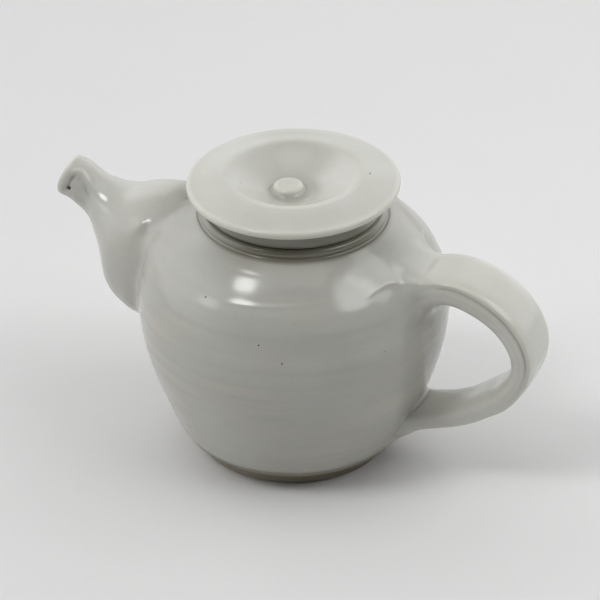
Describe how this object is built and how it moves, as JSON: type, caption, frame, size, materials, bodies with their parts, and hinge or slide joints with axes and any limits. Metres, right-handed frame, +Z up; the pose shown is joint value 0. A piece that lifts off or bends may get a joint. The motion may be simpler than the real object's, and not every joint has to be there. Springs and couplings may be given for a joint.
{
  "type": "lidded teapot",
  "caption": "Hand-thrown stoneware teapot with a pale glaze: round body on a foot ring, short spout, strap handle and a wide lift-off lid with its knob sunk in a well.",
  "frame": {"origin": "on the surface the pot stands on, in the middle of its length and width; the throwing axis is 1.83 mm towards the spout from it", "axes": "+Z up along the throwing axis, +X towards the handle, -X towards the spout; XZ is the mirror plane"},
  "size_m": [0.226, 0.1362, 0.133],
  "materials": {
    "pale_glaze": "glossy grey-white glaze with faint throwing rings, a few iron specks and thinner, darker glaze in the creases",
    "bare_clay": "thinly glazed to bare fired clay, matt, greyish brown"
  },
  "bodies": {
    "pot": {"pot_body": "pale_glaze", "foot_ring": "bare_clay", "spout": "pale_glaze", "handle": "pale_glaze"},
    "lid": {"lid_plate": "pale_glaze", "lid_skirt": "bare_clay", "lid_knob": "pale_glaze"}
  },
  "joints": [
    {"name": "lid_lift", "type": "slide", "parent": "pot", "child": "lid", "axis": [0, 0, 1], "range_m": [0, 0.06]}
  ]
}
